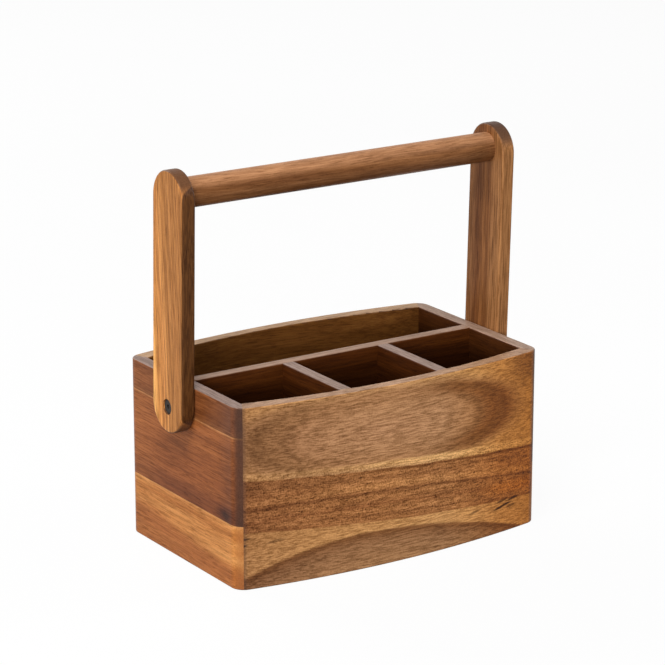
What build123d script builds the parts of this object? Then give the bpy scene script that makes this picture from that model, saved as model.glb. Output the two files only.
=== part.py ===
"""Wooden table caddy: a bow-fronted box with four compartments and a folding carrying handle.

Millimetres, +Z up. The origin is on the table, under the middle of the box. -Y is the front.
"""
from build123d import *
import math
import os

# ---- The box -------------------------------------------------------------------------------
body_length = 250.0        # over the outer faces of the two end panels
body_depth = 143.0         # front to back at the ends, before the long faces swell out
body_height = 128.5        # table to rim
outer_bow = 12.3           # how far each long face swells out at its middle
end_wall = 10.0            # thickness of the flat end panels
long_wall_middle = 9.0     # thickness of the bowed panels half way along
long_wall_end = 12.2       # thickness of the bowed panels, carried on to the box's ends
corner_radius = 10.0       # upright outer corners
mitre_angle = 28.0         # slant of the corner joint, in degrees from front-to-back
rim_rounding = 1.0         # eased edges round the rim, the dividers and the foot
end_top_stave = 21.0       # height of the top board glued into each end panel
end_bottom_stave = 45.3    # height of the bottom board glued into each end panel

# ---- The floor and the dividers --------------------------------------------------------------
floor_thickness = 8.0
floor_lift = 3.0           # the walls stand this far below the floor
floor_groove = 3.0         # how deep the floor is let into the walls
divider_thickness = 9.3
long_divider_offset = 2.8  # the long divider's middle, behind the middle of the box
cross_divider_offset = 39.7
housing_depth = 2.0        # how deep a divider's end is let into its neighbour
housing_stop = 8.0         # the housings stop this far below the rim

# ---- The corner pins -------------------------------------------------------------------------
pin_diameter = 4.0
pin_length = 14.0
pin_end_cover = 3.0        # wood left between a pin's end and the outside of the end panel
pin_inset = 5.0            # pin's axis, in from the box's straight corner
pin_heights = (25.0, 64.0, 96.0)

# ---- The handle ------------------------------------------------------------------------------
upright_thickness = 10.2
upright_width = 39.4
upright_rounding = 1.5
arc_spacing = 144.3        # between the centres of the upright's two round ends
pivot_below_arc = 1.3      # the pivot's centre, below the lower round end's centre
bar_above_arc = 2.8        # the bar's centre, above the upper round end's centre
bar_diameter = 21.0
bar_socket = 6.0           # how deep the bar is let into each upright
pivot_below_rim = 15.6     # the pivot's centre, below the box's rim
handle_lean = 1.8          # degrees towards the front, as the handle stands
washer_thickness = 0.8     # also the gap between an upright and its end panel

# ---- The pivot hardware ------------------------------------------------------------------------
bolt_diameter = 5.0
bolt_running_clearance = 0.05
bolt_head_diameter = 10.4
bolt_head_height = 3.0
bolt_head_clearance = 0.3  # round the head, in its recess
bolt_head_depth = 0.8      # how far the head's top lies below the upright's face
bolt_head_rounding = 0.6
hex_key_size = 3.0
hex_key_depth = 1.8
insert_diameter = 8.0
insert_length = 7.0
bolt_tip_gap = 0.4         # the bolt stops this far short of the insert's end
washer_diameter = 14.0
washer_bore_clearance = 0.2

# ---- Worked out from the sizes above -----------------------------------------------------------
half_length = body_length / 2
outer_middle = body_depth / 2 + outer_bow
inner_middle = outer_middle - long_wall_middle
inner_half_length = half_length - end_wall
inner_bow = outer_bow + long_wall_end - long_wall_middle
floor_top = floor_lift + floor_thickness
pivot_height = body_height - pivot_below_rim
upright_inner_x = half_length + washer_thickness
upright_outer_x = upright_inner_x + upright_thickness
pivot_point = (0, 0, pivot_height)
reach = body_length        # longer than any cut needs


def arc_radius(bow):
    """Radius of the arc that rises by bow over the whole length of the box."""
    return (half_length ** 2 + bow ** 2) / (2 * bow)


outer_radius = arc_radius(outer_bow)
inner_radius = arc_radius(inner_bow)


def arc_depth(radius, middle, x):
    """Distance from the box's long centre line to a bowed face, at x."""
    return middle - (radius - math.sqrt(radius ** 2 - x ** 2))


def bowed_plan(half, radius, middle):
    """A plan with flat ends at +half and -half and two long sides that swell out to middle."""
    corner = arc_depth(radius, middle, half)
    front = ThreePointArc((-half, -corner), (0, -middle), (half, -corner))
    right = Line((half, -corner), (half, corner))
    back = ThreePointArc((half, corner), (0, middle), (-half, corner))
    left = Line((-half, corner), (-half, -corner))
    return make_face([front, right, back, left])


def box_between(low, high):
    """A plain block between two opposite corners."""
    size = [high[i] - low[i] for i in range(3)]
    middle = [(high[i] + low[i]) / 2 for i in range(3)]
    return Pos(*middle) * Box(*size)


def inside_plan(growth, low_z, high_z):
    """The space inside the walls, grown by growth into them, between two heights."""
    plan = bowed_plan(inner_half_length + growth, inner_radius + growth, inner_middle + growth)
    return Pos(0, 0, low_z) * extrude(plan, high_z - low_z)


def standing_region(corners):
    """A space with the given plan that reaches past the top and the foot of the box."""
    plan = make_face(Polyline(corners, close=True))
    return Pos(0, 0, -reach) * extrude(plan, 2 * reach, dir=(0, 0, 1))


def rod(diameter, start, end, y, z):
    """A round rod along X, from start to end."""
    centre = Pos((start + end) / 2, y, z)
    return centre * Rot(0, 90, 0) * Cylinder(diameter / 2, abs(end - start))


def save(node, shape):
    """Write one named piece."""
    shape.label = node
    export_step(shape, f"parts/{node}.step")


# ---- Where the dividers stand ----------------------------------------------------------------
long_front_y = long_divider_offset - divider_thickness / 2
long_back_y = long_divider_offset + divider_thickness / 2
cross_edges = [(side * cross_divider_offset - divider_thickness / 2,
                side * cross_divider_offset + divider_thickness / 2) for side in (-1, 1)]


def carcass():
    """Walls and dividers in one piece, sanded flush and eased, before they are told apart."""
    outline = bowed_plan(half_length, outer_radius, outer_middle)
    outline = fillet(outline.vertices(), corner_radius)
    block = extrude(outline, body_height)
    front_stops = [-reach, cross_edges[0][0], cross_edges[0][1],
                   cross_edges[1][0], cross_edges[1][1], reach]
    room = inside_plan(0, -reach, reach)
    block -= room & box_between((-reach, long_back_y, -reach), (reach, reach, reach))
    for low_x, high_x in zip(front_stops[::2], front_stops[1::2]):
        block -= room & box_between((low_x, -reach, -reach), (high_x, long_front_y, reach))
    rim = block.edges().filter_by_position(Axis.Z, body_height, body_height)
    block = fillet(rim, rim_rounding)
    foot_face = block.faces().filter_by_position(Axis.Z, 0, 0)[0]
    return fillet(foot_face.outer_wire().edges(), rim_rounding)


def corner_joint():
    """The slanted corner joint in plan, at the right back: from inside the room to outside."""
    inner_corner = arc_depth(inner_radius, inner_middle, inner_half_length)
    angle = math.radians(mitre_angle)
    slant = (math.sin(angle), math.cos(angle))
    inner, outer = [[place + step * way
                     for place, way in zip((inner_half_length, inner_corner), slant)]
                    for step in (-corner_radius, 3 * corner_radius)]
    return inner, outer


def end_region():
    """The space that the right end panel takes, out to its slanted corner joints."""
    (low_x, low_y), (high_x, high_y) = corner_joint()
    corners = [(low_x, -low_y), (high_x, -high_y), (reach, -high_y),
               (reach, high_y), (high_x, high_y), (low_x, low_y)]
    return standing_region(corners)


def long_wall_region(side):
    """The space that a bowed panel takes between its corner joints. side is -1 for the front."""
    (low_x, low_y), (high_x, high_y) = corner_joint()
    corners = [(-low_x, side * low_y), (-high_x, side * high_y),
               (high_x, side * high_y), (low_x, side * low_y)]
    return standing_region(corners)


def long_divider_tongues():
    """The long divider's ends, where they are let into the end panels."""
    half = inner_half_length + housing_depth
    return box_between((-half, long_front_y, floor_top),
                       (half, long_back_y, body_height - housing_stop))


def cross_divider_tongues(low_x, high_x):
    """A cross divider's ends, where they are let into the front panel and the long divider."""
    ends = box_between((low_x, -reach, floor_top),
                       (high_x, long_front_y + housing_depth, body_height - housing_stop))
    return ends & inside_plan(housing_depth, 0, body_height)


def corner_pins():
    """Round wooden pins across the four slanted corner joints."""
    pin_y = body_depth / 2 - pin_inset
    start = half_length - pin_end_cover
    pins = []
    for side in (-1, 1):
        for face in (-1, 1):
            for height in pin_heights:
                pins.append(rod(pin_diameter, side * start, side * (start - pin_length),
                                face * pin_y, height))
    return pins


def upright(side):
    """One side arm of the handle, standing straight up over its pivot."""
    lower = pivot_height + pivot_below_arc
    outline = Pos(0, lower + arc_spacing / 2) * SlotCenterToCenter(
        arc_spacing, upright_width, rotation=90)
    arm = extrude(Plane.YZ.offset(upright_inner_x) * outline, upright_thickness)
    faces = arm.faces().sort_by(Axis.X)
    edges = faces[0].outer_wire().edges() + faces[-1].outer_wire().edges()
    arm = fillet(edges, upright_rounding)
    bore = bolt_diameter + 2 * bolt_running_clearance
    recess = bolt_head_diameter + 2 * bolt_head_clearance
    recess_depth = bolt_head_height + bolt_head_depth
    arm -= rod(bore, upright_inner_x, upright_outer_x, 0, pivot_height)
    arm -= rod(recess, upright_outer_x - recess_depth, upright_outer_x, 0, pivot_height)
    arm -= rod(bar_diameter, upright_inner_x, upright_inner_x + bar_socket, 0, bar_height)
    return arm if side > 0 else mirror(arm, Plane.YZ)


def lean(shape):
    """Turn a piece of the handle forward about its pivot, to where it stands."""
    return Pos(*pivot_point) * Rot(handle_lean, 0, 0) * Pos(0, 0, -pivot_height) * shape


def pivot_bolt(side):
    """A flat-headed bolt with a hexagon socket, from the upright's recess into the insert."""
    seat = upright_outer_x - bolt_head_depth - bolt_head_height
    top = seat + bolt_head_height
    head = rod(bolt_head_diameter, seat, top, 0, pivot_height)
    head = fillet(head.faces().sort_by(Axis.X)[-1].edges(), bolt_head_rounding)
    tip = half_length - insert_length + bolt_tip_gap
    bolt = head + rod(bolt_diameter, tip, seat, 0, pivot_height)
    hexagon = Plane.YZ.offset(top - hex_key_depth) * Pos(0, pivot_height) * RegularPolygon(
        hex_key_size / 2, 6, major_radius=False)
    bolt -= extrude(hexagon, hex_key_depth)
    return bolt if side > 0 else mirror(bolt, Plane.YZ)


def ring_along_x(outer, inner, start, end):
    """A plain ring round the pivot's axis."""
    return rod(outer, start, end, 0, pivot_height) - rod(inner, start, end, 0, pivot_height)


bar_height = pivot_height + pivot_below_arc + arc_spacing + bar_above_arc
sides = (-1, 1)
os.makedirs("parts", exist_ok=True)

# ---- Floor -------------------------------------------------------------------------------------
floor = inside_plan(floor_groove, floor_lift, floor_top)
save("floor_panel", floor)

# ---- Dividers ----------------------------------------------------------------------------------
whole = carcass()
room_above_floor = inside_plan(0, floor_top, body_height)
long_space = room_above_floor & box_between((-reach, long_front_y, 0),
                                            (reach, long_back_y, body_height))
long_divider = (whole & long_space) + long_divider_tongues()
housings = long_divider_tongues()
cross_spaces = []
for name, (low_x, high_x) in zip(("left", "right"), cross_edges):
    space = room_above_floor & box_between((low_x, -reach, 0), (high_x, long_front_y, body_height))
    tongues = cross_divider_tongues(low_x, high_x)
    save(f"{name}_cross_divider", (whole & space) + tongues)
    long_divider -= tongues
    housings += tongues
save("long_divider", long_divider)

# ---- Walls -------------------------------------------------------------------------------------
pins = corner_pins()
all_pins = Compound(pins)
walls = whole - inside_plan(0, -reach, reach)
walls = walls - floor - housings - all_pins
for side in sides:
    hole_end = side * (half_length - insert_length)
    walls -= rod(insert_diameter, hole_end, side * half_length, 0, pivot_height)
stave_breaks = [("bottom", 0, end_bottom_stave),
                ("middle", end_bottom_stave, body_height - end_top_stave),
                ("top", body_height - end_top_stave, body_height)]
panel = walls & end_region()
for stave, low_z, high_z in stave_breaks:
    board = panel & box_between((-reach, -reach, low_z), (reach, reach, high_z))
    save(f"right_end_{stave}_stave", board)
    save(f"left_end_{stave}_stave", mirror(board, Plane.YZ))
for name, side in (("front", -1), ("back", 1)):
    save(f"{name}_panel", walls & long_wall_region(side))
save("corner_pins", all_pins)

# ---- Handle ------------------------------------------------------------------------------------
for name, side in zip(("left", "right"), sides):
    save(f"{name}_handle_upright", lean(upright(side)))
bar_end = upright_inner_x + bar_socket
save("handle_bar", lean(rod(bar_diameter, -bar_end, bar_end, 0, bar_height)))

# ---- Pivots ------------------------------------------------------------------------------------
save("pivot_bolts", Compound([pivot_bolt(side) for side in sides]))
save("pivot_washers", Compound([
    ring_along_x(washer_diameter, bolt_diameter + 2 * washer_bore_clearance,
                 side * half_length, side * upright_inner_x) for side in sides]))
save("threaded_inserts", Compound([
    ring_along_x(insert_diameter, bolt_diameter,
                 side * (half_length - insert_length), side * half_length) for side in sides]))
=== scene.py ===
import bpy
import math
from mathutils import Matrix, Vector


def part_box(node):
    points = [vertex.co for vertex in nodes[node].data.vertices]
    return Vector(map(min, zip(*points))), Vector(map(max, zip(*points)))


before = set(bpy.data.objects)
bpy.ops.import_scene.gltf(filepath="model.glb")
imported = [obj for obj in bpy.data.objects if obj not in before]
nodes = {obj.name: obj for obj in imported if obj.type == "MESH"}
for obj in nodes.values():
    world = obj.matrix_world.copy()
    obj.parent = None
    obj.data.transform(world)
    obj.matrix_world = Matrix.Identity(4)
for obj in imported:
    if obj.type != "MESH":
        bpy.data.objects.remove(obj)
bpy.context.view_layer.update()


# ---- Sizes read from the model, in millimetres --------------------------------------------------
MM = 1000.0  # millimetres in a metre


def middle(node):
    """The middle of a node's box."""
    low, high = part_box(node)
    return (low + high) * (0.5 * MM)


def top(node):
    """The height of a node's highest point."""
    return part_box(node)[1].z * MM


BOTTOM_JOINT = top("left_end_bottom_stave")
TOP_JOINT = top("left_end_middle_stave")
PIVOT = middle("pivot_bolts").z
BAR = middle("handle_bar")
BAR_RADIUS = top("handle_bar") - BAR.z
LEFT_ARM_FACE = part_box("left_handle_upright")[0].x * MM
# The handle leans to the front. Its grain is laid out for a handle that stands upright.
LEAN = math.atan2(-BAR.y, BAR.z - PIVOT)
UPRIGHT_BAR_HEIGHT = PIVOT + math.hypot(BAR.y, BAR.z - PIVOT)


# ---- Colours and shader nodes -------------------------------------------------------------------
def linear(red, green, blue):
    """A colour given in the 0 to 255 values of a screen, as the linear values that shaders take."""
    def one(value):
        value /= 255.0
        return value / 12.92 if value <= 0.04045 else ((value + 0.055) / 1.055) ** 2.4
    return one(red), one(green), one(blue), 1.0


class Graph:
    """Short names for the shader nodes of a material or world.

    A value may be a number or the socket that gives it, and what comes back is a socket.
    """

    def __init__(self, owner):
        owner.use_nodes = True
        self.owner = owner
        self.tree = owner.node_tree
        self.tree.nodes.clear()

    def node(self, kind, inputs=(), **settings):
        """A new node, itself rather than one of its sockets."""
        made = self.tree.nodes.new(kind)
        for key, value in settings.items():
            setattr(made, key, value)
        for key, value in dict(inputs).items():
            if isinstance(value, bpy.types.NodeSocket):
                self.tree.links.new(value, made.inputs[key])
            else:
                made.inputs[key].default_value = value
        return made

    def math(self, operation, a, b=0.0, c=0.0):
        return self.node("ShaderNodeMath", {0: a, 1: b, 2: c}, operation=operation).outputs[0]

    def add(self, a, b):
        return self.math("ADD", a, b)

    def sub(self, a, b):
        return self.math("SUBTRACT", a, b)

    def mul(self, a, b):
        return self.math("MULTIPLY", a, b)

    def mad(self, a, b, c):
        """a times b, plus c."""
        return self.math("MULTIPLY_ADD", a, b, c)

    def total(self, first, *rest):
        for part in rest:
            first = self.add(first, part)
        return first

    def larger(self, a, b):
        return self.math("MAXIMUM", a, b)

    def absolute(self, value):
        return self.math("ABSOLUTE", value)

    def relative(self, value, origin, unit):
        """value measured from origin, in steps of unit."""
        return self.mad(value, 1.0 / unit, -origin / unit)

    def about(self, noise, reach):
        """Noise from 0 to 1 as a value that swings around 0, reach from end to end."""
        return self.mad(noise, reach, -0.5 * reach)

    def step(self, value, start, end, out_start=0.0, out_end=1.0):
        """Smooth change from out_start at start to out_end at end."""
        made = self.node("ShaderNodeMapRange",
                         {0: value, 1: start, 2: end, 3: out_start, 4: out_end},
                         interpolation_type="SMOOTHSTEP")
        return made.outputs[0]

    def ridge(self, value, centre, width):
        """1 where value is at centre, falling smoothly to 0 at width either side."""
        return self.step(self.absolute(self.sub(value, centre)), 0.0, width, 1.0, 0.0)

    def radius(self, a, b, power=2.0):
        """Distance from 0, 0 along rings that are round at power 2 and squarer above it."""
        parts = [self.math("POWER", self.absolute(part), power) for part in (a, b)]
        return self.math("POWER", self.add(*parts), 1.0 / power)

    def xyz(self, x, y, z):
        return self.node("ShaderNodeCombineXYZ", {0: x, 1: y, 2: z}).outputs[0]

    def split(self, vector):
        """The three parts of a vector, by the letter of the axis."""
        return dict(zip("xyz", self.node("ShaderNodeSeparateXYZ", {0: vector}).outputs))

    def scale(self, vector, factor):
        return self.node("ShaderNodeVectorMath", {0: vector, 1: (factor, factor, factor)},
                         operation="MULTIPLY").outputs[0]

    def noise(self, vector, detail=2.0, roughness=0.5):
        """Noise from 0 to 1 with features about 1 unit in size."""
        made = self.node("ShaderNodeTexNoise", {"Vector": vector, "Scale": 1.0, "Detail": detail,
                                                "Roughness": roughness, "Distortion": 0.0})
        return made.outputs["Fac"]

    def mix(self, factor, a, b, blend="MIX"):
        """Colour a where factor is 0, b where it is 1."""
        made = self.node("ShaderNodeMix", {0: factor, 6: a, 7: b}, data_type="RGBA",
                         blend_type=blend, clamp_factor=True)
        return made.outputs[2]

    def shade(self, colour, share):
        """colour times share, channel by channel."""
        return self.mix(1.0, colour, share, "MULTIPLY")

    def fade(self, colour, value, start, end, strength, tint):
        """colour, turning towards tint as value goes from start to end, by strength at most."""
        return self.mix(self.step(value, start, end, 0.0, strength), colour, tint)

    def stripe(self, colour, value, centre, width, strength, tint):
        """colour with a soft stripe of tint where value is near centre."""
        return self.mix(self.mul(self.ridge(value, centre, width), strength), colour, tint)

    def ramp(self, value, stops):
        """The colours of stops at their values, blended in between."""
        low, high = stops[0][0], stops[-1][0]
        made = self.node("ShaderNodeValToRGB", {0: self.relative(value, low, high - low)})
        points = made.color_ramp.elements
        while len(points) < len(stops):
            points.new(0.5)
        for point, (at, colour) in zip(points, stops):
            point.position = (at - low) / (high - low)
            point.color = colour
        return made.outputs[0]

    def finish(self, colour, roughness, gloss, height, strength, depth, metallic=0.0):
        """The material itself, with fine relief from height, depth metres deep."""
        bump = self.node("ShaderNodeBump", {"Height": height, "Strength": strength,
                                            "Distance": depth})
        shader = self.node("ShaderNodeBsdfPrincipled", {
            "Base Color": colour, "Roughness": roughness, "Specular IOR Level": gloss,
            "Metallic": metallic, "Normal": bump.outputs[0]})
        self.node("ShaderNodeOutputMaterial", {"Surface": shader.outputs[0]})
        return self.owner


# ---- Wood ---------------------------------------------------------------------------------------
# How far apart the noises of two boards lie, for each step between their seeds.
SEED_SPACING = 7.3
FIBRE_WIDTH = 0.95
PORE_WIDTH = 0.8
GRIT_SIZE = 1.1
EVEN_TONE = 1.03
DARKEST_TONE = 0.12
# Dark wood is warmer: green falls faster than red, and blue faster still.
GREEN_POWER = 1.15
BLUE_POWER = 1.35
END_GRAIN = linear(84, 66, 60)
OIL_ROUGHNESS = 0.42
OIL_GLOSS = 0.09
RELIEF_STRENGTH = 0.35
RELIEF_DEPTH = 0.00012
# How far the painted sheen on a rim's top face covers the figure below it.
RIM_SHEEN_COVER = 0.9


class Wood(Graph):
    """Oiled hardwood, with places in millimetres.

    u runs along the grain, v across the board's face and w through its thickness.
    """

    def __init__(self, name, grain, across, seed, leaning=False):
        super().__init__(bpy.data.materials.new(name))
        coords = self.node("ShaderNodeTexCoord")
        place, normal = coords.outputs["Object"], coords.outputs["Normal"]
        if leaning:
            place = self.stand(place, PIVOT / MM)
            normal = self.stand(normal, 0.0)
        self.spot = self.scale(place, MM)
        self.place = self.split(self.spot)
        self.normal = self.split(normal)
        through = ({"x", "y", "z"} - {grain, across}).pop()
        self.u, self.v, self.w = (self.place[axis] for axis in (grain, across, through))
        self.seed = seed
        self.end_grain = self.step(self.absolute(self.normal[grain]), 0.22, 0.7)
        self.facing_up = self.step(self.normal["z"], 0.6, 0.95)

    def stand(self, vector, height):
        """Turn a vector back upright, about the line across the object at height."""
        return self.node("ShaderNodeVectorRotate", {
            "Vector": vector, "Center": (0.0, 0.0, height), "Axis": (1.0, 0.0, 0.0),
            "Angle": -LEAN}).outputs[0]

    def grain_noise(self, along, across, shift, detail=2.0, roughness=0.5, v=None):
        """Noise with features of along by across millimetres. shift sets two noises apart."""
        v = self.v if v is None else v
        spot = self.xyz(self.mul(self.u, 1.0 / along), self.mul(v, 1.0 / across),
                        self.mad(self.w, 1.0 / across, self.seed * SEED_SPACING + shift))
        return self.noise(spot, detail, roughness)

    def oiled(self, colour, v, slow=0.35, bands=0.6, band_width=3.2, fine=0.30, length=20.0,
              speckle=0.3, pores=0.24, end_dark=0.42, extra=0.0):
        """The material: a board's colours under the fibres and pores of real timber.

        slow, bands, fine, speckle and pores are the strengths of what shades the wood, from
        broad clouds to single pores. extra is the board's own shading. The bands are band_width
        wide and the fibres length long. end_dark says how much darker the end grain is.
        """
        clouds = self.grain_noise(50.0, 18.0, 1.7, v=v)
        stripes = self.grain_noise(110.0, band_width, 5.1, 4.0, 0.6, v)
        fibres = self.grain_noise(length, FIBRE_WIDTH, 9.4, 2.0, 0.55, v)
        fibres = self.step(fibres, 0.39, 0.61)
        pore = self.grain_noise(0.45 * length, PORE_WIDTH, 13.9, 1.0, 0.4, v)
        crowd = self.grain_noise(30.0, 6.0, 21.2, 1.0, 0.5, v)
        pits = self.step(self.add(pore, self.about(crowd, 0.3)), 0.55, 0.66)
        grit = self.noise(self.scale(self.spot, 1.0 / GRIT_SIZE), 1.0)

        tone = self.total(self.about(clouds, slow), EVEN_TONE, self.about(stripes, bands),
                          self.about(fibres, fine), self.mul(self.sub(grit, 0.5), speckle),
                          self.mul(pits, -pores), extra)
        end_tone = self.mad(self.noise(self.spot, 3.0, 0.65), 0.7, 0.65 - end_dark)
        tone = self.node("ShaderNodeMix", {0: self.end_grain, 2: tone, 3: end_tone},
                         data_type="FLOAT").outputs[0]
        tone = self.larger(tone, DARKEST_TONE)
        tint = self.xyz(tone, self.math("POWER", tone, GREEN_POWER),
                        self.math("POWER", tone, BLUE_POWER))

        colour = self.mix(self.mul(self.end_grain, 1.5 * end_dark), colour, END_GRAIN)
        height = self.sub(self.mul(fibres, 0.4), pits)
        roughness = self.mad(height, -0.06, OIL_ROUGHNESS)
        return self.finish(self.shade(colour, tint), roughness, OIL_GLOSS, height,
                           RELIEF_STRENGTH, RELIEF_DEPTH)


# Painted shade in the compartments: height, and the share of each channel that is left there.
COMPARTMENT_SHADE = ((100.0, (0.32, 0.27, 0.21, 1.0)), (110.0, (0.38, 0.32, 0.25, 1.0)),
                     (119.0, (0.80, 0.72, 0.56, 1.0)), (128.0, (0.86, 0.78, 0.64, 1.0)))


def paint_compartment_shade(g, colour):
    """Painted shade: the wood inside the compartments is darkened below the rim."""
    return g.shade(colour, g.ramp(g.place["z"], COMPARTMENT_SHADE))


# ---- The front panel: an eye over a heartwood band over an arch ---------------------------------
# The eye is an oval whose rings are numbered from 0 in its middle to 1 at its edge.
EYE_U, EYE_V = -12.0, 97.6
EYE_HALF_LENGTH, EYE_HALF_HEIGHT = 103.0, 27.0
EYE_SLOPE = -0.035
EYE_SQUARENESS = 2.3
EYE_COLOURS = ((0.0, linear(172, 125, 87)), (0.45, linear(168, 122, 83)),
               (0.8, linear(160, 114, 75)))
CLOSE_TO_EYE = linear(172, 126, 82)
FAR_FROM_EYE = linear(188, 138, 84)
RING_LEFT = linear(152, 108, 68)
RING_RIGHT = linear(120, 73, 35)
RING_LINE = linear(104, 68, 36)
UPPER_CORNER_SHADE = linear(112, 68, 36)

# The growth rings fall towards the right. A level is the height of a ring at the panel's middle,
# and the heart gives way to its neighbours between two levels at its foot and at its head.
RING_FALL = 0.075
HEART_FOOT = (31.9, 31.0)
HEART_HEAD = (67.9, 69.0)
HEART_COLOURS = ((0.28, linear(176, 120, 72)), (0.50, linear(154, 101, 58)),
                 (0.72, linear(126, 79, 44)))
HEART_SHADOW = linear(122, 79, 44)
# The heart's lines sink towards both ends, by this times the distance squared.
HEART_BOW = 0.0004
HEART_LINES = {"dark": linear(108, 64, 33), "pale": linear(192, 134, 80),
               "red": linear(122, 70, 37)}
ORANGE_U, ORANGE_LEVEL = 100.0, 40.5
ORANGE_HALF_LENGTH, ORANGE_HALF_HEIGHT = 30.0, 5.5
ORANGE = linear(186, 120, 62)
GLOW = linear(212, 162, 104)
LINE_ABOVE_HEART = linear(108, 64, 31)
LINE_BELOW_HEART = linear(116, 68, 36)

# The arch is 0 along its top line and below 0 inside. It falls to both sides with the distance
# squared, faster to the left.
ARCH_U, ARCH_V = -20.0, 24.9
ARCH_SLOPE = 0.03
ARCH_FALL_LEFT, ARCH_FALL_RIGHT = 0.0021, 0.00128
ARCH_COLOURS = ((-24.0, linear(159, 115, 76)), (-10.0, linear(149, 106, 70)),
                (-3.5, linear(132, 89, 55)), (-1.2, linear(120, 77, 43)),
                (0.4, linear(130, 86, 50)))
GOLD_HIGH = linear(182, 131, 79)
GOLD_LOW = linear(190, 139, 86)

# Place along and up the panel, half length and darkness of each mark.
FLECKS = ((87.0, 19.0, 7.0, 0.95), (94.0, 20.6, 7.0, 0.95), (101.0, 23.6, 8.0, 0.85),
          (90.0, 23.8, 7.0, 0.8), (99.0, 18.6, 6.0, 0.6), (64.0, 21.4, 6.0, 0.6),
          (-120.0, 36.2, 5.0, 0.8), (-121.0, 31.6, 4.0, 0.9), (-98.0, 32.4, 9.0, 0.5))
FLECK_SLOPE = -0.14
FLECK_HALF_WIDTH = 1.2
FLECK = linear(50, 26, 11)

# Place along the panel, and the share of each channel that is left there. The board turns darker
# at its left end, and darker and redder at its right end, where painted shade also stands in for
# the bowed face turning from the light.
PANEL_ENDS_TONE_AND_SHADE = ((-122.0, (0.66, 0.61, 0.63, 1.0)), (-60.0, (0.88, 0.86, 0.86, 1.0)),
              (-10.0, (1.0, 1.0, 1.0, 1.0)), (35.0, (1.0, 1.0, 1.0, 1.0)),
              (62.0, (1.0, 0.93, 0.82, 1.0)), (88.0, (0.92, 0.74, 0.52, 1.0)),
              (116.0, (0.76, 0.55, 0.31, 1.0)))
# Painted shade: the inside face is much darker than the outside of the same board.
PANEL_INSIDE_SHADE = linear(74, 42, 18)
# Painted sheen: the rim's top face is paler.
PANEL_RIM_SHEEN = linear(150, 117, 92)


def eye_figure(g, lift):
    """The pale eye with its dark ring, and the gold around it. Also gives the ring number."""
    spread = g.relative(g.u, EYE_U, EYE_HALF_LENGTH)
    centre_line = g.mad(g.u, EYE_SLOPE, EYE_V)
    rise = g.mul(g.sub(g.add(g.v, lift), centre_line), 1.0 / EYE_HALF_HEIGHT)
    eye = g.radius(spread, rise, EYE_SQUARENESS)
    around = g.mix(g.step(eye, 1.02, 1.3), CLOSE_TO_EYE, FAR_FROM_EYE)
    colour = g.mix(g.step(eye, 0.9, 1.1), g.ramp(eye, EYE_COLOURS), around)

    # The dark ring shows most at the eye's two ends and above its right half.
    ends = g.step(g.absolute(spread), 0.25, 0.8)
    above = g.mul(g.step(rise, 0.1, 0.8), g.step(g.u, 0.0, 55.0))
    ring = g.mul(g.step(eye, 0.64, 0.92), g.step(eye, 1.0, 1.22, 1.0, 0.0))
    ring_colour = g.mix(g.step(g.u, -40.0, 50.0), RING_LEFT, RING_RIGHT)
    colour = g.mix(g.mul(ring, g.mad(g.larger(ends, above), 0.75, 0.15)), colour, ring_colour)
    lines = g.mul(g.larger(g.ridge(eye, 0.97, 0.09), g.ridge(eye, 0.78, 0.05)), ends)
    colour = g.mix(g.mul(lines, 0.35), colour, RING_LINE)
    # Painted shade darkens the panel's upper right corner.
    corner = g.mul(g.step(g.u, 86.0, 112.0), g.step(g.v, 98.0, 120.0))
    return g.mix(g.mul(corner, 0.6), colour, UPPER_CORNER_SHADE), eye


def heart_figure(g, level):
    """The brown band in the middle, with its streaks and the orange patch at the right."""
    colour = g.ramp(g.grain_noise(170.0, 3.4, 2.2, 4.0, 0.66, level), HEART_COLOURS)
    to_left = g.step(g.u, 20.0, -90.0)
    shadow = g.mul(g.step(level, 57.0, 63.5), g.mad(to_left, 0.3, 0.1))
    colour = g.mix(shadow, colour, HEART_SHADOW)
    bow = g.mad(g.mul(g.u, g.u), HEART_BOW, level)
    to_right = g.step(g.u, -110.0, -10.0, 0.25, 0.6)
    colour = g.stripe(colour, bow, 52.6, 1.8, 0.75, HEART_LINES["dark"])
    colour = g.stripe(colour, bow, 57.0, 3.4, to_right, HEART_LINES["pale"])
    colour = g.stripe(colour, bow, 44.0, 2.4, 0.4, HEART_LINES["red"])
    patch = g.radius(g.relative(g.u, ORANGE_U, ORANGE_HALF_LENGTH),
                     g.relative(level, ORANGE_LEVEL, ORANGE_HALF_HEIGHT))
    return g.fade(colour, patch, 1.2, 0.3, 0.7, ORANGE)


def sapwood_figure(g, lift):
    """The gold strip below the heart and the arch whose top lies in it. Also gives the arch."""
    off = g.sub(g.u, ARCH_U)
    fall = g.mul(g.mul(off, off), g.step(off, -25.0, 25.0, ARCH_FALL_LEFT, ARCH_FALL_RIGHT))
    arch = g.total(g.mad(g.u, ARCH_SLOPE, -ARCH_V), g.v, fall, lift)
    gold = g.mix(g.step(g.v, 34.0, 16.0), GOLD_HIGH, GOLD_LOW)
    return g.mix(g.step(arch, -0.3, 1.5), g.ramp(arch, ARCH_COLOURS), gold), arch


def add_flecks(g, colour, wobble):
    """Short dark marks in the sapwood at the right and near the left edge."""
    for u, v, half_length, darkness in FLECKS:
        along = g.relative(g.u, u, half_length)
        rise = g.sub(g.mad(g.u, FLECK_SLOPE, g.v), v + FLECK_SLOPE * u)
        near = g.add(g.radius(along, g.mul(rise, 1.0 / FLECK_HALF_WIDTH)), wobble)
        colour = g.fade(colour, near, 1.2, 0.4, darkness, FLECK)
    return colour


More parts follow.
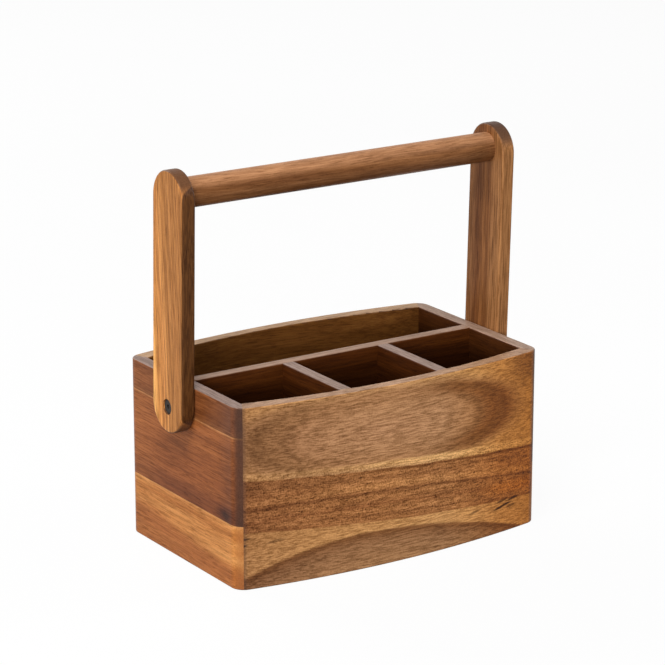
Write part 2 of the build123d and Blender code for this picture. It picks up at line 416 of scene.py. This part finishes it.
def growth_lines(g, level, eye, arch):
    """Faint shading along the rings of the eye and inside the arch."""
    in_eye = g.noise(g.xyz(g.mul(g.u, 1.0 / 200.0), g.mul(eye, 10.0), 4.0), 3.0, 0.6)
    in_arch = g.noise(g.xyz(g.mul(g.u, 1.0 / 90.0), g.mul(arch, 0.35), 9.0), 3.0, 0.6)
    return g.add(g.mul(g.about(in_eye, 0.55), g.step(level, 68.0, 74.0)),
                 g.mul(g.about(in_arch, 0.6), g.step(level, 32.0, 28.0)))


def front_panel_wood():
    g = Wood("front_panel_wood", "x", "z", 1.0)
    ripple = g.grain_noise(24.0, 10.0, 8.1)
    lift = g.add(g.about(g.grain_noise(120.0, 50.0, 3.3), 2.6), g.about(ripple, 2.2))
    level = g.total(g.mad(g.u, RING_FALL, g.v), lift)
    upper, eye = eye_figure(g, lift)
    lower, arch = sapwood_figure(g, g.mul(lift, 0.8))

    upper = g.stripe(upper, level, 71.8, 3.6, g.step(g.u, -80.0, 20.0, 0.35, 1.0), GLOW)
    colour = g.mix(g.step(level, *HEART_HEAD), heart_figure(g, level), upper)
    colour = g.stripe(colour, level, 67.5, 1.8, g.step(g.u, -60.0, 30.0, 0.15, 0.9),
                      LINE_ABOVE_HEART)
    colour = g.mix(g.step(level, *HEART_FOOT), colour, lower)
    colour = g.stripe(colour, level, 32.1, 0.9, 0.35, LINE_BELOW_HEART)
    colour = add_flecks(g, colour, g.about(ripple, 0.7))
    # Partly painted shade: the right end of the bowed panel darkens.
    colour = g.shade(colour, g.ramp(g.u, PANEL_ENDS_TONE_AND_SHADE))

    # Painted shade: the inside is plain dark brown, much darker than the outside of the same board.
    # Painted sheen: the rim's top face is paler.
    colour = g.mix(g.step(g.normal["y"], 0.1, 0.6), colour, paint_compartment_shade(g, PANEL_INSIDE_SHADE))
    colour = g.mix(g.mul(g.facing_up, RIM_SHEEN_COVER), colour, PANEL_RIM_SHEEN)
    in_heart = g.mul(g.step(level, 28.0, 36.0), g.step(level, 76.0, 66.0))
    return g.oiled(colour, g.add(g.v, lift), slow=0.22, bands=0.22, fine=0.50, length=12.0,
                   pores=0.18, speckle=g.mad(in_heart, 1.4, 0.7),
                   extra=growth_lines(g, level, eye, arch))


# ---- Plainer boards -----------------------------------------------------------------------------
def plain_wood(name, grain, across, seed, colours, spacing=6.0, slope=0.0, figure=None,
               rim=None, leaning=False, **texture):
    """Streaks of light, middle and dark wood along the grain, then the board's own figure.

    spacing is the width of the streaks and slope their rise along the grain. A figure takes and
    gives the board's colour, and finds the height of its rings in g.level.
    """
    g = Wood(name, grain, across, seed, leaning)
    sway = g.grain_noise(110.0, 40.0, 3.3)
    g.level = g.add(g.mad(g.u, slope, g.v), g.about(sway, 6.0))
    streaks = g.grain_noise(100.0, spacing, 2.2, 3.0, 0.55, g.level)
    light, mid, dark = (linear(*screen) for screen in colours)
    colour = g.ramp(streaks, ((0.26, light), (0.50, mid), (0.74, dark)))
    if figure:
        colour = figure(g, colour)
    # Painted sheen: rim is a paler colour laid over the top faces.
    if rim:
        colour = g.mix(g.mul(g.facing_up, RIM_SHEEN_COVER), colour, linear(*rim))
    return g.oiled(colour, g.level, **texture)


END_CORNER = linear(92, 58, 44)
END_INSIDE_SHADE = linear(70, 38, 16)
JOINT_HIGHLIGHT = linear(206, 150, 96)
TOP_STAVE_FOOT = linear(150, 96, 56)
MIDDLE_STAVE_BROWN = linear(124, 67, 33)
MIDDLE_STAVE_FOOT = linear(102, 53, 28)
MIDDLE_STAVE_BACK = linear(170, 104, 57)
KNOT_U, KNOT_V = -57.0, 50.0
KNOT_HALF_LENGTH, KNOT_HALF_HEIGHT = 13.0, 7.0
KNOT_EDGE = linear(72, 34, 19)
KNOT_HEART = linear(38, 17, 10)
BOTTOM_STAVE_STREAK = linear(172, 106, 52)
BOTTOM_STAVE_RED = linear(156, 90, 45)


def end_board(g, colour, joint=None, corner=None):
    """A darker front corner, a painted highlight along the joint at its top, and an inner face
    darkened as painted shade.
    """
    if corner:
        colour = g.fade(colour, g.u, -44.0, -64.0, corner, END_CORNER)
    if joint:
        # Painted highlight along the joint, where the stave's top edge catches light.
        colour = g.fade(colour, g.v, joint - 1.6, joint - 0.3, 0.4, JOINT_HIGHLIGHT)
    outward = g.mul(g.place["x"], g.normal["x"])
    # Painted shade: the inner face is a dark brown, much darker than the outside.
    return g.mix(g.step(outward, -60.0, -100.0), colour, paint_compartment_shade(g, END_INSIDE_SHADE))


def top_stave(g, colour):
    """Lighter towards its foot."""
    colour = g.fade(colour, g.v, 112.0, 106.0, 0.6, TOP_STAVE_FOOT)
    return end_board(g, colour, corner=0.55)


def middle_stave(g, colour):
    """Brown below its lighter head, dark at the foot, lighter at the back.

    The left end's has a knot low in its front corner.
    """
    colour = g.fade(colour, g.level, 88.0, 80.0, 0.4, MIDDLE_STAVE_BROWN)
    colour = g.fade(colour, g.level, 64.0, 54.0, 0.6, MIDDLE_STAVE_FOOT)
    colour = g.fade(colour, g.u, 20.0, 58.0, 0.35, MIDDLE_STAVE_BACK)
    knot = g.radius(g.relative(g.u, KNOT_U, KNOT_HALF_LENGTH),
                    g.relative(g.v, KNOT_V, KNOT_HALF_HEIGHT))
    knot = g.add(knot, g.about(g.grain_noise(9.0, 6.0, 4.4), 0.9))
    left_end = g.step(g.place["x"], 0.0, -100.0)
    colour = g.mix(g.mul(g.step(knot, 1.3, 0.3, 0.0, 0.85), left_end), colour, KNOT_EDGE)
    colour = g.mix(g.mul(g.step(knot, 0.5, 0.1, 0.0, 0.8), left_end), colour, KNOT_HEART)
    return end_board(g, colour, TOP_JOINT, 0.35)


def bottom_stave(g, colour):
    """Gold with a brown streak, and redder towards the foot, which reaches higher at the back."""
    colour = g.stripe(colour, g.level, 38.5, 3.0, 0.7, BOTTOM_STAVE_STREAK)
    red = g.mad(g.u, 0.10, g.mul(g.level, -1.0))
    colour = g.fade(colour, red, -27.0, -15.0, 0.8, BOTTOM_STAVE_RED)
    return end_board(g, colour, BOTTOM_JOINT)


# Levels of the handle's arms, from the front to the back, and their colours.
LEFT_ARM_STREAKS = ((-20.0, linear(158, 101, 50)), (-13.0, linear(158, 100, 47)),
                    (-10.0, linear(204, 138, 76)), (-5.0, linear(190, 122, 62)),
                    (3.0, linear(202, 132, 64)), (8.5, linear(248, 182, 102)),
                    (14.5, linear(214, 137, 64)), (18.5, linear(246, 178, 98)))
RIGHT_ARM_STREAKS = ((-16.0, linear(146, 99, 58)), (-9.5, linear(136, 91, 53)),
                     (-4.5, linear(103, 60, 27)), (0.5, linear(121, 75, 38)),
                     (8.0, linear(95, 54, 26)), (15.0, linear(122, 79, 46)))
ARM_EDGE = linear(72, 42, 19)
BACK_OUTSIDE = ((0.30, linear(190, 138, 88)), (0.50, linear(168, 117, 71)),
                (0.70, linear(136, 89, 50)))
BAR_TOP_HIGHLIGHT = linear(164, 116, 80)


def left_upright(g, colour):
    """Gold towards the back, browner towards the front, and a dark front edge."""
    colour = g.mix(0.8, colour, g.ramp(g.level, LEFT_ARM_STREAKS))
    inward = g.sub(g.place["x"], LEFT_ARM_FACE)
    edge = g.sub(g.mul(inward, 0.3), g.place["y"])
    return g.fade(colour, edge, 18.2, 19.2, 0.95, ARM_EDGE)


def right_upright(g, colour):
    """Light at the front, browner behind, with two dark streaks."""
    return g.mix(0.85, colour, g.ramp(g.level, RIGHT_ARM_STREAKS))


def back_board(g, colour):
    """The outside is oiled wood like the front's; the inside keeps darker colours as painted shade.
    """
    outside = g.ramp(g.grain_noise(150.0, 14.0, 6.1, 3.0, 0.55, g.level), BACK_OUTSIDE)
    return g.mix(g.step(g.normal["y"], 0.1, 0.6), colour, outside)


def bar_top_highlight(g, colour):
    """Painted highlight: a paler stripe along the top of the bar, where light from above falls."""
    height = g.relative(g.place["z"], UPRIGHT_BAR_HEIGHT, BAR_RADIUS)
    return g.fade(colour, height, 0.25, 0.85, 0.9, BAR_TOP_HIGHLIGHT)


# ---- Bolts, inserts and washers -----------------------------------------------------------------
SPECKS_PER_METRE = 1800.0
WORN = linear(104, 92, 82)
SMALL_PART_GLOSS = 0.25


def small_part(name, colour, roughness, metallic=0.0):
    """Metal or plastic with fine worn specks."""
    g = Graph(bpy.data.materials.new(name))
    place = g.node("ShaderNodeTexCoord").outputs["Object"]
    speck = g.noise(g.scale(place, SPECKS_PER_METRE), 3.0, 0.6)
    tint = g.fade(linear(*colour), speck, 0.35, 0.7, 0.2, WORN)
    return g.finish(tint, g.mad(speck, 0.2, roughness), SMALL_PART_GLOSS, speck,
                    strength=0.15, depth=0.00005, metallic=metallic)


# ---- The materials on their pieces --------------------------------------------------------------
def dress(node, material):
    materials = nodes[node].data.materials
    materials.clear()
    materials.append(material)


# Colours of light, middle and dark streaks, as screen values. The dividers' are dark as painted
# shade.
SHADED_DIVIDER_WOOD = ((92, 52, 22), (74, 38, 14), (52, 25, 9))
ARM_TEXTURE = {"leaning": True, "bands": 0.9, "band_width": 2.0, "fine": 0.5, "length": 30.0}

# Each rim colour below is painted sheen on the board's top faces.
dress("front_panel", front_panel_wood())
# The back panel's streak colours are its inside, dark as painted shade; back_board gives the
# outside.
dress("back_panel", plain_wood(
    "back_panel_wood", "x", "z", 2.0, ((114, 72, 32), (96, 58, 23), (78, 44, 15)),
    spacing=9.0, slope=0.04, figure=back_board, rim=(172, 137, 104)))
dress("long_divider", plain_wood(
    "long_divider_wood", "x", "z", 3.0, SHADED_DIVIDER_WOOD, figure=paint_compartment_shade, rim=(152, 121, 100)))
for side, seed in (("left", 4.0), ("right", 5.0)):
    dress(f"{side}_cross_divider", plain_wood(
        f"{side}_cross_divider_wood", "y", "z", seed, SHADED_DIVIDER_WOOD, figure=paint_compartment_shade,
        rim=(136, 113, 101)))
dress("floor_panel", plain_wood(
    "floor_panel_wood", "x", "y", 6.0, ((104, 64, 34), (84, 50, 25), (62, 36, 17)), spacing=8.0))
for side, seed, rim in (("left", 7.0, (130, 109, 99)), ("right", 17.0, (146, 121, 104))):
    dress(f"{side}_end_top_stave", plain_wood(
        f"{side}_end_top_wood", "y", "z", seed, ((144, 86, 48), (124, 71, 37), (94, 50, 24)),
        figure=top_stave, rim=rim))
    dress(f"{side}_end_middle_stave", plain_wood(
        f"{side}_end_middle_wood", "y", "z", seed + 1.0,
        ((163, 97, 52), (146, 84, 43), (122, 67, 32)), spacing=7.0, figure=middle_stave,
        fine=0.36))
    dress(f"{side}_end_bottom_stave", plain_wood(
        f"{side}_end_bottom_wood", "y", "z", seed + 2.0,
        ((208, 144, 82), (192, 126, 67), (170, 103, 50)), spacing=9.0, figure=bottom_stave,
        end_dark=0.1))
dress("left_handle_upright", plain_wood(
    "left_upright_wood", "z", "y", 11.0, ((214, 154, 92), (194, 134, 78), (166, 108, 60)),
    spacing=3.0, slope=-0.08, figure=left_upright, **ARM_TEXTURE))
dress("right_handle_upright", plain_wood(
    "right_upright_wood", "z", "y", 12.0, ((158, 110, 72), (138, 92, 58), (112, 70, 42)),
    figure=right_upright, **ARM_TEXTURE))
dress("handle_bar", plain_wood(
    "handle_bar_wood", "x", "z", 13.0, ((130, 86, 52), (114, 72, 40), (94, 56, 30)),
    figure=bar_top_highlight, leaning=True))
dress("corner_pins", plain_wood(
    "corner_pin_wood", "x", "z", 14.0, ((214, 180, 130), (196, 158, 108), (170, 130, 84)),
    spacing=2.0))
dress("pivot_bolts", small_part("blackened_steel", (27, 22, 19), 0.5))
dress("pivot_washers", small_part("black_nylon", (30, 28, 27), 0.6))
dress("threaded_inserts", small_part("insert_brass", (190, 156, 92), 0.35, metallic=1.0))


# ---- Floor, light and camera, in metres ---------------------------------------------------------
FLOOR_HALF = 6.0
FLOOR_PAINT = linear(130, 130, 130)
FLOOR_WHITES = linear(255, 255, 255), linear(254, 254, 254)
FLOOR_GLOW = 1.18
FLOOR_GLOW_SHARE = 0.8
WHITE = (1.0, 1.0, 1.0, 1.0)
# How strongly the white world lights the object. Where it is seen, it is 1.
WORLD_LIGHT = 0.14
LAMP_TARGET = (0.0, 0.0, 0.1)
# Place, width and height, power in watts.
LAMPS = {"key": ((-1.1, -0.8, 2.2), (1.3, 1.0), 51.0),
         "front": ((-1.75, -1.85, 0.65), (1.2, 0.8), 46.0),
         "back": ((-0.4, 2.2, 1.3), (1.2, 0.8), 30.0),
         "right": ((2.0, -0.5, 0.8), (0.8, 0.8), 16.0)}
# The camera's place and directions, fitted to the photograph. Lens and sensor in millimetres.
CAMERA_PLACE = (-1.08260, -1.63610, 0.73031)
CAMERA_RIGHT = Vector((0.834531, -0.550960, 0.000776))
CAMERA_UP = Vector((0.157353, 0.239688, 0.958013))
CAMERA_LENS = 158.70
CAMERA_SENSOR = 36.0
CAMERA_SIGHT = (0.05, 50.0)


def background_rays(g):
    """1 for camera, glossy and transmission rays, which see the plain white background."""
    path = g.node("ShaderNodeLightPath").outputs
    seen = g.larger(path["Is Camera Ray"], path["Is Glossy Ray"])
    return g.larger(seen, path["Is Transmission Ray"])


def stage_material():
    """A floor that is white to look at, keeps the shadow and throws little light back up."""
    g = Graph(bpy.data.materials.new("studio_floor"))
    grain = g.noise(g.node("ShaderNodeTexCoord").outputs["Object"])
    tint = g.mix(g.step(grain, 0.3, 0.7), *FLOOR_WHITES)
    paint = g.node("ShaderNodeBsdfDiffuse", {"Color": FLOOR_PAINT})
    glow = g.node("ShaderNodeEmission", {"Color": tint, "Strength": FLOOR_GLOW})
    mixed = g.node("ShaderNodeMixShader", {0: g.mul(background_rays(g), FLOOR_GLOW_SHARE),
                                           1: paint.outputs[0], 2: glow.outputs[0]})
    g.node("ShaderNodeOutputMaterial", {"Surface": mixed.outputs[0]})
    return g.owner


def add_object(name, data):
    made = bpy.data.objects.new(name, data)
    bpy.context.scene.collection.objects.link(made)
    return made


def make_floor():
    mesh = bpy.data.meshes.new("studio_floor")
    signs = ((-1, -1), (1, -1), (1, 1), (-1, 1))
    corners = [(x * FLOOR_HALF, y * FLOOR_HALF, 0.0) for x, y in signs]
    mesh.from_pydata(corners, [], [(0, 1, 2, 3)])
    mesh.materials.append(stage_material())
    add_object("studio_floor", mesh)


def make_lamp(name, place, size, power):
    """A soft white lamp that looks at the middle of the object."""
    lamp = bpy.data.lights.new(name, "AREA")
    lamp.shape = "RECTANGLE"
    lamp.size, lamp.size_y = size
    lamp.energy = power
    holder = add_object(name, lamp)
    holder.location = place
    holder.rotation_mode = "QUATERNION"
    holder.rotation_quaternion = (Vector(LAMP_TARGET) - Vector(place)).to_track_quat("-Z", "Y")


def make_world():
    """Soft light from all round, and plain white where it is seen."""
    world = bpy.data.worlds.new("studio")
    bpy.context.scene.world = world
    g = Graph(world)
    strength = g.node("ShaderNodeMapRange", {0: background_rays(g), 3: WORLD_LIGHT, 4: 1.0})
    back = g.node("ShaderNodeBackground", {"Color": WHITE, "Strength": strength.outputs[0]})
    g.node("ShaderNodeOutputWorld", {"Surface": back.outputs[0]})


def make_camera():
    camera = bpy.data.cameras.new("photo_camera")
    camera.sensor_width = CAMERA_SENSOR
    camera.lens = CAMERA_LENS
    camera.clip_start, camera.clip_end = CAMERA_SIGHT
    axes = (CAMERA_RIGHT, CAMERA_UP, CAMERA_RIGHT.cross(CAMERA_UP))
    holder = add_object("photo_camera", camera)
    holder.matrix_world = Matrix.Translation(CAMERA_PLACE) @ Matrix(axes).transposed().to_4x4()
    bpy.context.scene.camera = holder


make_floor()
make_world()
for lamp_name, lamp_settings in LAMPS.items():
    make_lamp(lamp_name, *lamp_settings)
make_camera()
bpy.context.scene.view_settings.view_transform = "Standard"
